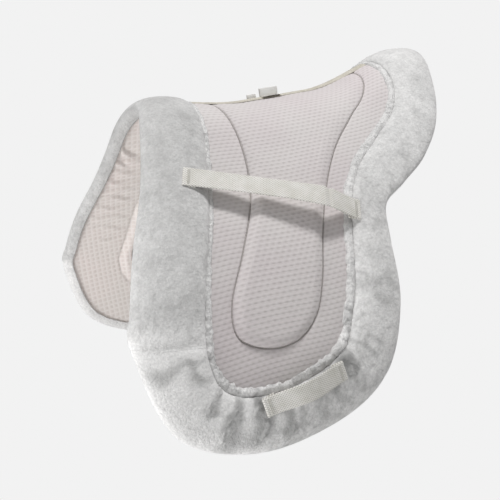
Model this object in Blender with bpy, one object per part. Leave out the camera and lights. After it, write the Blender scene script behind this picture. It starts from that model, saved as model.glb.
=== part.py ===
"""Fleece-bordered saddle pad, draped as it lies over a horse's back.

Metres, +Z up, -X toward the horse's neck, -Y toward its near (left) side.
The origin is on the underside of the ridge, at the ridge's lowest stretch.

Every cloth piece is drawn flat first, as a saddler's pattern:
  x = distance along the spine, v = distance down the side from the ridge line,
  n = height above the pad's underside, square to the cloth.
place() then lays pattern points over the draped form, so layers that are
parallel in the pattern stay parallel, and clear of each other, on the form.
"""

import math

import bmesh
import bpy
from mathutils import Matrix, Vector

# Draped form
flank_angle = math.radians(40)  # of each side, from the vertical
apex_height = 0.080  # where the two flank planes would meet, above the origin
front_rise = 0.020  # how much the ridge climbs to the withers
front_rise_start = -0.050
front_rise_end = -0.220
rear_rise = 0.040  # how much the ridge climbs to the cantle
rear_rise_start = 0.070
rear_rise_end = 0.270
flank_straight = 0.294  # from the apex line to where the flank starts to curve in
flank_curve_radius = 0.378

# Cloth layers
lining_thickness = 0.0012
felt_thickness = 0.0065
panel_thickness = 0.0016
layer_gap = 0.0004  # between any two pieces that touch
seam_gap = 0.0005  # half the joint between pieces side by side
ridge_gap = 0.0004  # from the ridge plane to each side's cut edge

# Raised centre pad
centre_crown = 0.009  # outward
centre_inner_crown = 0.003  # toward the horse
crown_run = 0.30  # share of the width that each side takes to rise
spine_crown_share = 0.15  # of the crown that is left at the spine seam
spine_crown_run = 0.045  # distance from the spine over which the crown builds up
panel_crown = 0.0018
groove_half_width = 0.0015
seam_cord_half_width = 0.0010
seam_cord_height = 0.0012

# Fleece border
fleece_thickness = 0.0040
front_roll_height = 0.0160
lower_border_height = 0.0150
rear_roll_height = 0.0130
ridge_press = 0.25  # share of a roll's height that is pressed flat at the ridge
ridge_press_run = 0.090  # distance from the ridge over which it rises again
hem_width = 0.016  # on the horse side
hem_thickness = 0.0025
hem_drop = 0.0015
felt_inset = 0.0150  # from the fleece's outer edge
welt_gap = 0.0006
welt_width = 0.0058
welt_height = 0.0042
border_gap = 0.0009  # between the felt and the fleece sewn on it
filling_gap = 0.0014  # round the roll's filling

# Webbing
webbing_thickness = 0.0018
webbing_fold = 0.018  # turned under at each end
fold_gap = 0.0010  # inside the fold
billet_width = 0.030
billet_front = (-0.226, 0.182)
billet_rear = (0.010, 0.283)
billet_front_lift = 0.0284
billet_peak_lift = 0.0440
billet_peak_at = 0.74  # share of the strap's length
billet_rear_lift = 0.0238
girth_loop_width = 0.026
girth_loop_front = (-0.217, 0.505)
girth_loop_rear = (-0.091, 0.484)
girth_loop_end_lift = 0.0276
girth_loop_peak_lift = 0.0400
tack_thickness = 0.0008
tack_length = 0.0030
tack_from_end = 0.007  # from the fold to the bar tack's middle
tack_side_inset = 0.003

# Spine
binding_half_width = 0.009
binding_thickness = 0.0012
binding_end_gap = 0.001  # to the welt at both ends
binding_clearance = 0.0009
binding_margin = 0.003  # past the binding's edge before the centre pad swells
inner_tape_half_width = 0.009
label_x = 0.002
label_width = 0.034
label_height = 0.014
leaf_start = 0.0035  # of the label's sewn leaf, from the ridge
leaf_depth = 0.0145
leaf_steps = 4
size_tab_x = -0.031
size_tab_width = 0.016
size_tab_height = 0.007
label_cloth = 0.0005
label_leaf_gap = 0.0008

# Hinge line of both sides, above every point of the ridge
hinge_height = 0.066

# Pattern: stations round the pad from the front of the ridge to its rear, each
# with the seam of the centre pad, the edge of the quilted panel and the outer edge.
stations = [
    ((-0.110, 0.000), (-0.150, 0.000), (-0.232, 0.000)),
    ((-0.111, 0.080), (-0.160, 0.088), (-0.257, 0.100)),
    ((-0.118, 0.155), (-0.182, 0.168), (-0.286, 0.185)),
    ((-0.140, 0.230), (-0.211, 0.252), (-0.323, 0.268)),
    ((-0.182, 0.305), (-0.245, 0.332), (-0.351, 0.342)),
    ((-0.221, 0.368), (-0.267, 0.409), (-0.363, 0.390)),
    ((-0.226, 0.412), (-0.259, 0.466), (-0.333, 0.510)),
    ((-0.190, 0.436), (-0.205, 0.489), (-0.225, 0.572)),
    ((-0.145, 0.435), (-0.140, 0.482), (-0.115, 0.565)),
    ((-0.108, 0.408), (-0.082, 0.452), (-0.020, 0.519)),
    ((-0.083, 0.362), (-0.048, 0.388), (0.026, 0.427)),
    ((-0.057, 0.300), (-0.020, 0.312), (0.043, 0.335)),
    ((-0.020, 0.235), (0.012, 0.247), (0.063, 0.280)),
    ((0.030, 0.168), (0.055, 0.197), (0.115, 0.254)),
    ((0.085, 0.118), (0.108, 0.160), (0.175, 0.228)),
    ((0.133, 0.084), (0.160, 0.128), (0.234, 0.180)),
    ((0.160, 0.048), (0.194, 0.082), (0.277, 0.103)),
    ((0.168, 0.000), (0.204, 0.000), (0.300, 0.000)),
]
CENTRE, PANEL, OUTER = range(3)
last_station = len(stations) - 1
front_roll_end = 5  # stations where one fleece piece is sewn to the next
lower_border_end = 9
tip_start = 6.5  # station where the centre pad's front seam turns into its lower end

# Heights of the layers above the underside
felt_bottom = lining_thickness + layer_gap
felt_top = felt_bottom + felt_thickness
panel_bottom = felt_top + layer_gap
panel_top = panel_bottom + panel_thickness
border_bottom = felt_top + border_gap


def smooth_step(value):
    value = min(max(value, 0.0), 1.0)
    return value * value * (3 - 2 * value)


def crest_height(x):
    """Height of the ridge's underside."""
    front = front_rise * smooth_step((x - front_rise_start) / (front_rise_end - front_rise_start))
    rear = rear_rise * smooth_step((x - rear_rise_start) / (rear_rise_end - rear_rise_start))
    return front + rear


def crest_radius(x):
    """Radius that rounds the ridge and runs tangent into both flank planes."""
    sine = math.sin(flank_angle)
    return (apex_height - crest_height(x)) * sine / (1 - sine)


def place(x, v, n, side):
    """A pattern point on the draped form; side is -1 for left, +1 for right."""
    radius = crest_radius(x)
    turn = math.pi / 2 - flank_angle
    if v < radius * turn:
        angle = v / radius
        y = (radius + n) * math.sin(angle)
        z = crest_height(x) - radius + (radius + n) * math.cos(angle)
        return Vector((x, side * y, z))
    slope = v - radius * turn + radius / math.tan(flank_angle)
    straight = min(slope, flank_straight)
    lean = flank_angle - (slope - straight) / flank_curve_radius
    y = straight * math.sin(flank_angle)
    y += flank_curve_radius * (math.cos(lean) - math.cos(flank_angle))
    z = apex_height - straight * math.cos(flank_angle)
    z -= flank_curve_radius * (math.sin(flank_angle) - math.sin(lean))
    return Vector((x, side * (y + n * math.cos(lean)), z + n * math.sin(lean)))


def line_point(line, t):
    """A point of a pattern line, smooth through its stations and square to the ridge."""

    def station(index):
        mirrored = index < 0 or index > last_station
        if index < 0:
            index = -index
        if index > last_station:
            index = 2 * last_station - index
        x, v = stations[index][line]
        return Vector((x, -v if mirrored else v))

    index = min(int(t), last_station - 1)
    f = t - index
    p0, p1, p2, p3 = (station(index + step) for step in (-1, 0, 1, 2))
    return 0.5 * (
        2 * p1 + (p2 - p0) * f + (2 * p0 - 5 * p1 + 4 * p2 - p3) * f**2
        + (3 * p1 - p0 - 3 * p2 + p3) * f**3
    )


def inset_point(line, t, inset):
    """A point moved square to a pattern line, toward the centre pad where inset > 0."""
    step = 0.01
    before = max(t - step, 0.0)
    after = min(t + step, float(last_station))
    along = (line_point(line, after) - line_point(line, before)).normalized()
    if t in (0.0, float(last_station)):
        along = Vector((0.0, 1.0 if t == 0.0 else -1.0))
    return line_point(line, t) + Vector((along.y, -along.x)) * inset


def station_samples(first, last):
    """Places round the pad where every layer has its edges, closer at the ridge."""
    marks = [index / 2 for index in range(2 * last_station + 1)]
    marks += [0.25, last_station - 0.25]
    return sorted(mark for mark in marks if first <= mark <= last)


front_marks = station_samples(0, tip_start)  # the centre pad's rows, down its front seam
rear_marks = station_samples(0, last_station)[::-1][: len(front_marks)]
tip_marks = station_samples(tip_start, rear_marks[-1])


def new_material(name, colour, roughness):
    material = bpy.data.materials.new(name)
    material.use_nodes = True
    shader = material.node_tree.nodes["Principled BSDF"]
    shader.inputs["Base Color"].default_value = (*colour, 1)
    shader.inputs["Roughness"].default_value = roughness
    shader.inputs["Metallic"].default_value = 0.0
    return material


def closed_block(name, counts, point, material):
    """A closed box of counts cells each way, with every corner moved by point(i, j, k).
    Every cell is split along the same diagonal, so that stacked layers fold alike."""
    bm = bmesh.new()
    bmesh.ops.create_cube(bm, size=1, matrix=Matrix.Translation((0.5, 0.5, 0.5)))
    for axis, count in enumerate(counts):
        normal = Vector([float(axis == other) for other in range(3)])
        for cut in range(1, count):
            geometry = bm.verts[:] + bm.edges[:] + bm.faces[:]
            bmesh.ops.bisect_plane(
                bm, geom=geometry, dist=1e-6, plane_co=normal * cut / count, plane_no=normal
            )
    for vertex in bm.verts:
        vertex.co = [round(value * count) for value, count in zip(vertex.co, counts)]
    for face in bm.faces[:]:
        corners = sorted(face.verts, key=lambda vertex: sum(vertex.co))
        bmesh.utils.face_split(face, corners[0], corners[-1])
    for vertex in bm.verts:
        i, j, k = (round(value) for value in vertex.co)
        vertex.co = point(i, j, k)
    return add_object(name, bm, material)


def add_object(name, bm, material):
    if bm.calc_volume(signed=True) < 0:
        bmesh.ops.reverse_faces(bm, faces=bm.faces)
    mesh = bpy.data.meshes.new(name)
    bm.to_mesh(mesh)
    bm.free()
    mesh.materials.append(material)
    mesh.shade_smooth()
    mesh.set_sharp_from_angle(angle=math.radians(50))
    obj = bpy.data.objects.new(name, mesh)
    parts.objects.link(obj)
    return obj


def pattern_sheet(name, side, rows, columns, point, bottom, top, material):
    """A layer of cloth: point(i, j) is in the pattern, bottom and top(i, j) are heights."""

    def corner(i, j, k):
        x, v = point(i, j)
        n = top(i, j) if k else bottom(i, j)
        return place(x, max(v, 0.0) + ridge_gap, n, side)

    return closed_block(name, (rows, columns, 1), corner, material)


def band_point(t, share):
    """Between the centre seam (0), the panel's edge (1) and the outer edge (2)."""
    if share <= 1:
        inner = inset_point(CENTRE, t, -seam_gap)
        return inner.lerp(line_point(PANEL, t), share)
    outer = line_point(OUTER, t)
    return line_point(PANEL, t).lerp(outer, share - 1)


def share_of_inset(line, t, inset):
    """Share of the rib from the centre seam to the panel's edge that lies within
    inset of the line, measured square to it."""
    rib = line_point(PANEL, t) - line_point(CENTRE, t)
    square = inset_point(line, t, 1.0) - line_point(line, t)
    return inset / abs(rib.dot(square))


def panel_end_share(t):
    """Where the quilted panel stops, at the welt's inner side."""
    return 1 - share_of_inset(PANEL, t, welt_gap + welt_width + welt_gap)


def flap_layers(prefix, side):
    """Lining, felt and quilted panel of one flap, all round the centre pad."""
    marks = station_samples(0, last_station)
    rows = len(marks) - 1

    def columns(t, end_inset):
        width = (line_point(OUTER, t) - line_point(PANEL, t)).length
        end = 2 - end_inset / width
        return [0.0, 0.3, 0.6, panel_end_share(t), 1.0, 1.35, 1.65, end]

    def layer(name, end_inset, bottom, top, material):
        last_column = len(columns(0.0, end_inset)) - 1
        pattern_sheet(
            prefix + name, side, rows, last_column,
            lambda i, j: band_point(marks[i], columns(marks[i], end_inset)[j]),
            lambda i, j: bottom,
            lambda i, j: top,
            material,
        )

    layer("lining", hem_width + seam_gap, 0.0, lining_thickness, lining_cloth)
    layer("felt_core", felt_inset, felt_bottom, felt_top, felt)

    def panel_share(i, j):
        seam = share_of_inset(CENTRE, marks[i], groove_half_width)
        return [seam, 0.3, 0.6, panel_end_share(marks[i])][j]

    pattern_sheet(
        prefix + "flap_panel", side, rows, 3,
        lambda i, j: band_point(marks[i], panel_share(i, j)),
        lambda i, j: panel_bottom,
        lambda i, j: panel_top + panel_crown * math.sin(math.pi * panel_share(i, j)),
        quilted_cloth,
    )


def centre_patch(i, j, inset):
    """A pattern point of the centre pad: row j down it, column i across it."""

    def edge(t):
        return inset_point(CENTRE, t, inset)

    across = i / (len(tip_marks) - 1)
    down = front_marks[j] / front_marks[-1]
    tip_chord = edge(front_marks[-1]).lerp(edge(rear_marks[-1]), across)
    row = edge(front_marks[j]).lerp(edge(rear_marks[j]), across)
    return row + (edge(tip_marks[i]) - tip_chord) * down**3


def centre_rise(i, j):
    """Share of the crown at a point of the centre pad: drawn in at its seams."""
    across = i / (len(tip_marks) - 1)
    down = front_marks[j] / front_marks[-1]
    v = centre_patch(i, j, 0.0).y
    sides = math.sin(math.pi / 2 * min(min(across, 1 - across) / crown_run, 1.0))
    tip = math.sin(math.pi / 2 * min((1 - down) / crown_run, 1.0))
    past_binding = v - binding_half_width - binding_margin
    spine = spine_crown_share
    spine += (1 - spine_crown_share) * smooth_step(past_binding / spine_crown_run)
    return sides * tip * spine


def centre_layers(prefix, side):
    """Lining, thick insert and cover of the raised centre pad of one side."""

    def layer(name, inset, bottom, bottom_swell, top, top_swell, material):
        pattern_sheet(
            prefix + name, side, len(tip_marks) - 1, len(front_marks) - 1,
            lambda i, j: centre_patch(i, j, inset),
            lambda i, j: bottom + bottom_swell * centre_rise(i, j),
            lambda i, j: top + top_swell * centre_rise(i, j),
            material,
        )

    inner = -centre_inner_crown
    layer("centre_lining", seam_gap, 0.0, inner, lining_thickness, inner, lining_cloth)
    layer("centre_insert", groove_half_width, felt_bottom, inner, felt_top, centre_crown, felt)
    layer(
        "centre_cover", groove_half_width, panel_bottom, centre_crown, panel_top, centre_crown,
        quilted_cloth,
    )


def seam_cord(prefix, side):
    """The sewn line that holds the centre pad, in the groove round it."""
    marks = station_samples(0, last_station)

    def point(i, j):
        inset = seam_cord_half_width * (2 * j - 1)
        return inset_point(CENTRE, marks[i], inset)

    pattern_sheet(
        prefix + "centre_seam", side, len(marks) - 1, 1, point,
        lambda i, j: panel_bottom,
        lambda i, j: panel_bottom + seam_cord_height,
        thread,
    )


def fleece_welt(prefix, side):
    """The narrow gathered roll between the fleece and the quilted panel."""
    marks = station_samples(0, last_station)
    crowns = [0.6, 1.0, 0.6]

    def point(i, j):
        inset = share_of_inset(PANEL, marks[i], welt_gap + welt_width * j / 2)
        return band_point(marks[i], 1 - inset)

    pattern_sheet(
        prefix + "fleece_welt", side, len(marks) - 1, 2, point,
        lambda i, j: border_bottom,
        lambda i, j: border_bottom + welt_height * crowns[j],
        fleece,
    )


def fleece_piece(prefix, name, side, first, last, height):
    """One length of the border: fleece wrapped from the welt round the outer edge, and
    the soft filling under it."""
    marks = station_samples(first, last)
    arch_steps, hem_steps, fill_steps = 8, 2, 4
    base = border_bottom

    def clear_of_seam(i):
        t = marks[i]
        length = (line_point(OUTER, first) - line_point(OUTER, first + 1)).length
        if i == 0 and first > 0:
            return t + seam_gap / length
        if i == len(marks) - 1 and last < last_station:
            return t - seam_gap / length
        return t

    def across(t, w):
        inner, outer = line_point(PANEL, t), line_point(OUTER, t)
        return outer.lerp(inner, w / (outer - inner).length)

    def width(t):
        return (line_point(OUTER, t) - line_point(PANEL, t)).length

    def height_at(t):
        past_ridge = smooth_step(line_point(PANEL, t).y / ridge_press_run)
        return height * (1 - ridge_press * (1 - past_ridge))

    def skin(i, j, k):
        t = clear_of_seam(i)
        wall = fleece_thickness * k
        if j <= arch_steps:
            angle = math.pi * j / arch_steps
            w = width(t) / 2 + (width(t) / 2 - wall) * math.cos(angle)
            n = base + (height_at(t) - wall) * math.sin(angle)
        else:
            angle = math.pi / 2 * (j - arch_steps) / hem_steps
            w = wall + (hem_width - wall) * (1 - math.cos(angle))
            n = base - (base + hem_drop - hem_thickness * k) * math.sin(angle)
        x, v = across(t, w)
        return place(x, max(v, 0.0) + ridge_gap, n, side)

    closed_block(
        prefix + name, (len(marks) - 1, arch_steps + hem_steps, 1), skin, fleece
    )

    def filling(i, j, k):
        t = clear_of_seam(i)
        wall = fleece_thickness + filling_gap
        start = math.radians(28)
        angle = start + (math.pi - 2 * start) * j / fill_steps
        w = width(t) / 2 + (width(t) / 2 - wall) * math.cos(angle)
        n = base + filling_gap
        n += k * ((height_at(t) - wall) * math.sin(angle) - filling_gap)
        x, v = across(t, w)
        return place(x, max(v, 0.0) + ridge_gap, n, side)

    closed_block(prefix + name + "_filling", (len(marks) - 1, fill_steps, 1), filling, wadding)


def ribbon(name, path, across, thickness, width, to_world, material):
    """A flat strap whose middle follows path, a list of (u, n) points."""
    points = [Vector(point) for point in path]

    def corner(i, j, k):
        before = points[max(i - 1, 0)]
        after = points[min(i + 1, len(points) - 1)]
        along = (after - before).normalized()
        normal = Vector((-along.y, along.x))
        u, n = points[i] + normal * thickness * (k - 0.5)
        return to_world(u, across + width * (j - 0.5), n)

    return closed_block(name, (len(points) - 1, 1, 1), corner, material)


def folded_path(length, lifts):
    """A strap's middle line: turned under at both ends, with lifts as (share, height)."""
    drop = webbing_thickness + fold_gap

    def lift(share):
        for (s0, h0), (s1, h1) in zip(lifts, lifts[1:]):
            if share <= s1:
                return h0 + (h1 - h0) * smooth_step((share - s0) / (s1 - s0))
        return lifts[-1][1]

    def turn(end, direction):
        top = lift(end)
        u = end * length
        return [
            (u - direction * webbing_fold, top - drop),
            (u - direction * webbing_fold / 2, top - drop),
            (u - direction * drop / 2, top - drop),
            (u - direction * drop * 0.15, top - drop * 0.85),
            (u, top - drop / 2),
            (u - direction * drop * 0.15, top - drop * 0.15),
        ]

    start = turn(0.0, -1)
    finish = turn(1.0, 1)
    steps = 12
    clear = drop / length
    shares = [clear + (1 - 2 * clear) * step / steps for step in range(steps + 1)]
    top = [(share * length, lift(share)) for share in shares]
    return start + top + finish[::-1]


def webbing_strap(prefix, name, side, front, rear, strap_width, lifts):
    """One webbing keeper with its bar tacks, laid from front to rear in the pattern."""
    start, end = Vector(front), Vector(rear)
    along = (end - start).normalized()
    square = Vector((-along.y, along.x))
    length = (end - start).length

    def to_world(u, w, n):
        x, v = start + along * u + square * w
        return place(x, v, n, side)

    path = folded_path(length, lifts)
    ribbon(prefix + name, path, 0.0, webbing_thickness, strap_width, to_world, webbing)

    def tack(end, middle):
        def corner(i, j, k):
            u = middle + tack_length * (i - 0.5)
            w = (strap_width - 2 * tack_side_inset) * (j - 0.5)
            above = webbing_thickness / 2 + layer_gap + tack_thickness * k
            return to_world(u, w, path_height(path, u) + above)

        closed_block(prefix + name + end, (1, 1, 1), corner, thread)

    tack("_front_tack", tack_from_end)
    tack("_rear_tack", length - tack_from_end)


def path_height(path, u):
    """Height of the strap's upper run at u."""
    spans = [(p, q) for p, q in zip(path, path[1:]) if min(p[0], q[0]) <= u <= max(p[0], q[0])]
    return max(p[1] + (q[1] - p[1]) * (u - p[0]) / (q[0] - p[0]) for p, q in spans)


def spine_tape(name, front, rear, half_width, bottom, thickness, material):
    """A tape along the ridge, over both sides."""
    steps, half_steps = 14, 2

    def corner(i, j, k):
        x = front + (rear - front) * i / steps
        offset = half_width * (j - half_steps) / half_steps
        side = 1 if offset >= 0 else -1
        return place(x, abs(offset), bottom + thickness * k, side)

    closed_block(name, (steps, 2 * half_steps, 1), corner, material)


def tab_foot(x):
    """Height where a cloth tab is sewn to the spine binding."""
    return crest_height(x) + binding_bottom + binding_thickness + layer_gap


def standing_tab(name, x, width, height):
    """A folded cloth tab that stands on the spine binding."""
    half = (label_leaf_gap + label_cloth) / 2
    path = [(-half, 0.0), (-half, height / 2), (-half, height - half)]
    path += [(-half * 0.7, height - 0.3 * half), (0.0, height), (half * 0.7, height - 0.3 * half)]
    path += [(half, height - half), (half, height / 2), (half, 0.0)]

    def to_world(u, w, n):
        return Vector((x + w, u, tab_foot(x) + n))

    return ribbon(name, path, 0.0, label_cloth, width, to_world, label_cloth_material)


def sewn_leaf(name):
    """The label's second leaf, sewn down over the near edge of the spine binding."""
    bottom = binding_bottom + binding_thickness + layer_gap

    def corner(i, j, k):
        x = label_x + label_width * (i - 0.5)
        v = leaf_start + leaf_depth * j / leaf_steps
        return place(x, v, bottom + label_cloth * k, -1)

    closed_block(name, (1, leaf_steps, 1), corner, label_cloth_material)


def hinge_line(name, x, z, pieces):
    """An empty on a joint's axis, along X, with the pieces that turn about it."""
    empty = bpy.data.objects.new(name, None)
    empty.location = (x, 0, z)
    parts.objects.link(empty)
    for obj in pieces:
        obj.parent = empty
        obj.matrix_parent_inverse = Matrix.Translation((-x, 0, -z))


def remove_old_scene():
    for obj in list(bpy.data.objects):
        bpy.data.objects.remove(obj, do_unlink=True)


remove_old_scene()
parts = bpy.data.collections.new("saddle_pad")
bpy.context.scene.collection.children.link(parts)

lining_cloth = new_material("lining_cloth", (0.66, 0.60, 0.57), 0.9)
quilted_cloth = new_material("quilted_cloth", (0.60, 0.55, 0.53), 0.9)
felt = new_material("felt", (0.50, 0.48, 0.45), 0.95)
fleece = new_material("fleece", (0.66, 0.68, 0.67), 1.0)
wadding = new_material("wadding", (0.80, 0.80, 0.78), 1.0)
webbing = new_material("webbing", (0.68, 0.68, 0.62), 0.8)
thread = new_material("thread", (0.40, 0.38, 0.36), 0.8)
tape = new_material("tape", (0.55, 0.52, 0.45), 0.85)
label_cloth_material = new_material("label_cloth", (0.85, 0.85, 0.83), 0.7)

binding_bottom = panel_top + centre_crown * spine_crown_share + binding_clearance
inner_tape_bottom = -centre_inner_crown * spine_crown_share - binding_clearance - binding_thickness
welt_inner_side = welt_gap + welt_width + binding_end_gap
binding_front = stations[0][PANEL][0] + welt_inner_side
binding_rear = stations[-1][PANEL][0] - welt_inner_side

for prefix, side in (("left_", -1), ("right_", 1)):
    flap_layers(prefix, side)
    centre_layers(prefix, side)
    seam_cord(prefix, side)
    fleece_welt(prefix, side)
    fleece_piece(prefix, "front_roll", side, 0, front_roll_end, front_roll_height)
    fleece_piece(
        prefix, "lower_border", side, front_roll_end, lower_border_end, lower_border_height
    )
    fleece_piece(
        prefix, "rear_roll", side, lower_border_end, last_station, rear_roll_height
    )
    webbing_strap(
        prefix, "billet_strap", side, billet_front, billet_rear, billet_width,
        [(0.0, billet_front_lift), (billet_peak_at, billet_peak_lift), (1.0, billet_rear_lift)],
    )
    webbing_strap(
        prefix, "girth_loop", side, girth_loop_front, girth_loop_rear, girth_loop_width,
        [(0.0, girth_loop_end_lift), (0.5, girth_loop_peak_lift), (1.0, girth_loop_end_lift)],
    )

spine_tape(
    "spine_binding", binding_front, binding_rear, binding_half_width, binding_bottom,
    binding_thickness, tape,
)
spine_tape(
    "spine_inner_tape", binding_front, binding_rear, inner_tape_half_width,
    inner_tape_bottom, binding_thickness, tape,
)
label_tab = standing_tab("label_tab", label_x, label_width, label_height)
standing_tab("size_tab", size_tab_x, size_tab_width, size_tab_height)
sewn_leaf("left_label_leaf")

for prefix in ("left_", "right_"):
    pieces = [obj for obj in parts.objects if obj.name.startswith(prefix)]
    hinge_line(prefix + "hinge_line", 0, hinge_height, pieces)
hinge_line("label_hinge_line", label_x, tab_foot(label_x), [label_tab])
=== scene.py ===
"""Looks of the saddle pad: waffle cloth, rolled fleece, webbing and binding.

Metres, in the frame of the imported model. The cloth is drawn flat, as in the model:
  x = distance along the spine, v = distance down the side from the ridge line,
  n = height above the pad's underside, square to the cloth.
"""

import math
from itertools import product

import bpy
import numpy as np
from mathutils import Matrix, Vector


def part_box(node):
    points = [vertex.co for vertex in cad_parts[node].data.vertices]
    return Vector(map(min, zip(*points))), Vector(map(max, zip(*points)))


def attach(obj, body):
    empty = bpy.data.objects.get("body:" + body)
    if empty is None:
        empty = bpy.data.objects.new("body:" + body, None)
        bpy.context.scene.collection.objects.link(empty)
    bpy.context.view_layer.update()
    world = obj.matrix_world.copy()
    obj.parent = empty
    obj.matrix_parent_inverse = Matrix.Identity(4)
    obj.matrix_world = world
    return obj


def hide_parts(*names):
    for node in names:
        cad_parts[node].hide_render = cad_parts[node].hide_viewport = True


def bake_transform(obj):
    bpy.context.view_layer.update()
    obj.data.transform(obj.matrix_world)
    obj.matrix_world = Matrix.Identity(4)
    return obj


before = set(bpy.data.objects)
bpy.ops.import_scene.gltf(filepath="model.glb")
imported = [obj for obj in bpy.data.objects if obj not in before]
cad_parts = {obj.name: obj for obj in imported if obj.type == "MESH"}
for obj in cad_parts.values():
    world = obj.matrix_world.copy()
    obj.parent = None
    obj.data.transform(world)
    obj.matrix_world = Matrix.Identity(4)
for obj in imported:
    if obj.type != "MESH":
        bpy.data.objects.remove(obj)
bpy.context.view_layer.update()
scene = bpy.context.scene
side_names = [("left_", -1), ("right_", 1)]

# Draped form, as in the model
flank_angle = math.radians(40)
apex_height = 0.080
ridge_rises = [(0.020, -0.050, -0.220), (0.040, 0.070, 0.270)]  # height, start, end along x
flank_straight = 0.294
flank_curve_radius = 0.378

# Layers, as in the model
lining_thickness = 0.0012
felt_thickness = 0.0065
panel_thickness = 0.0016
layer_gap = 0.0004
seam_gap = 0.0005
centre_crown = 0.009
centre_inner_crown = 0.003
groove_half_width = 0.0007
welt_gap = 0.0006
welt_width = 0.0058
welt_height = 0.0042
border_gap = 0.0009
hem_width = 0.016
hem_drop = 0.0015
felt_inset = 0.0150
front_roll_height = 0.0160
lower_border_height = 0.0150
rear_roll_height = 0.0130
ridge_press = 0.25
ridge_press_run = 0.090
binding_half_width = 0.009
binding_thickness = 0.0012
label_x = 0.002
label_width = 0.034
leaf_start = 0.0050
leaf_depth = 0.0130
leaf_thickness = 0.0007
webbing_thickness = 0.0018
webbing_fold = 0.018
tack_inset = 0.007
tack_zigzags = 11
fold_gap = 0.0010
crease_share = 0.79  # where the upper strap is creased
girth_loop_front = (-0.217, 0.505)
girth_loop_rear = (-0.091, 0.484)
# Front and rear ends in the pattern, width, heights of the middle by share of the length, crease
straps = [
    (
        "billet_strap", (-0.226, 0.182), (0.010, 0.283), 0.030,
        [(0.0, 0.0284), (0.74, 0.0440), (1.0, 0.0238)], 1.0,
    ),
    (
        "girth_loop", girth_loop_front, girth_loop_rear, 0.026,
        [(0.0, 0.0276), (0.5, 0.0400), (1.0, 0.0276)], 0.0,
    ),
]
felt_bottom = lining_thickness + layer_gap
felt_top = felt_bottom + felt_thickness
panel_bottom = felt_top + layer_gap
panel_top = panel_bottom + panel_thickness
border_bottom = felt_top + border_gap
tape_bottom = panel_top + centre_crown * 0.15 + 0.0009
leaf_bottom = tape_bottom + binding_thickness + 0.0009

# Weave, seams and creases
waffle_width = 0.0096  # one cell of the outer weave, along the spine
waffle_height = 0.0066  # and down the side
waffle_depth = 0.00020
# A weave's cell: width, height, stagger of each row, length and depth of its middle, which is painted
# dark as shade
quilted_cell = (waffle_width, waffle_height, 0.5, 0.0044, 0.0011)
lining_cell = (0.0098, 0.0098, 0.0, 0.0032, 0.0032)
edge_fade = 0.004  # where the weave fades out beside a seam
panel_swell = 0.0018
cushion_run = 0.024  # from the centre seam to the full height of the centre pad
groove_depth = 0.0007
groove_runs = (0.0020, 0.0018)  # from the seam to the cloth's full height, outside and inside it
stitch_length = 0.0045
stitch_half_width = 0.0008
hem_overlap = 0.0025  # how far the lining goes under the hem
inner_swell = 0.0050  # the raised pad inside each flap, and the dip of its seam
inner_dip = 0.0012
inner_corner = 0.018
inner_pad_end = 0.474
inner_pad_front = [
    (0.15, -0.180), (0.272, -0.2147), (0.343, -0.2351),
    (0.397, -0.2566), (0.43, -0.2560), (0.457, -0.2478),
]
# Creases of the lining: x, v, angle, half length, depth
creases = [
    (-0.226, 0.126, 0.85, 0.030, 0.0038),
    (-0.228, 0.146, 0.30, 0.024, 0.0034),
    (-0.244, 0.150, 0.80, 0.014, 0.0030),
    (-0.236, 0.172, 0.20, 0.030, 0.0028),
    (-0.244, 0.193, 0.30, 0.034, 0.0036),
    (-0.250, 0.214, 0.15, 0.034, 0.0026),
    (-0.252, 0.234, 0.30, 0.036, 0.0034),
    (-0.258, 0.258, 0.20, 0.036, 0.0028),
    (-0.262, 0.284, 0.28, 0.034, 0.0026),
    (-0.262, 0.312, 0.18, 0.030, 0.0022),
    (-0.264, 0.340, 0.24, 0.026, 0.0018),
]
crease_width = 0.0032

# Fleece: its gathered welt, rolled pile and fibres; a pair is the least and the most
welt_spacing = 0.0013
puff_lengths = (0.008, 0.024)
pile_spacing = 0.0019
arch_steps, hem_steps = 64, 14
roll_tuck = 0.05  # stations by which a roll's pile goes under the next
tuft_sizes = (0.0140, 0.0070, 0.0027)
tuft_heights = (0.0040, 0.0024, 0.0010, 0.0028)  # coarse, medium, fine, and slow swells
# Painted shade of the tufts for the same four layers: paler on their tops, greyer in the creases
# between them
tuft_painted_shades = (0.22, 0.24, 0.09, 0.05)
fold_spacing = (0.010, 0.026)
fold_half_width = (0.0026, 0.0064)
fold_depth = (0.35, 1.0)
fold_reach = (0.45, 1.2)
fold_tilt = (-0.016, 0.016)
# Depth of fold at which the painted shadow in the folds is darkest
shadow_depth = 0.0072  # folds this deep are as dark as they get
pinch_width = 0.0075
pile_thickness = 0.0022
fibres_per_metre2 = 260000
fibre_lengths = (0.0018, 0.0042)
fibre_radii = (0.00022, 0.00042)
fibre_corners = (0, 2.0944, 4.1888)  # a third of a turn apart
fibre_lean = 0.75
fibre_root = 0.0006
hollow_depth = 0.0100
# Hollows in the pile at the girth loop's ends: end, shift along the loop, shift to the welt, reach
hollows = [(girth_loop_front, -0.004, 0.006, 0.0085), (girth_loop_rear, 0.008, 0.007, 0.0100)]

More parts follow.
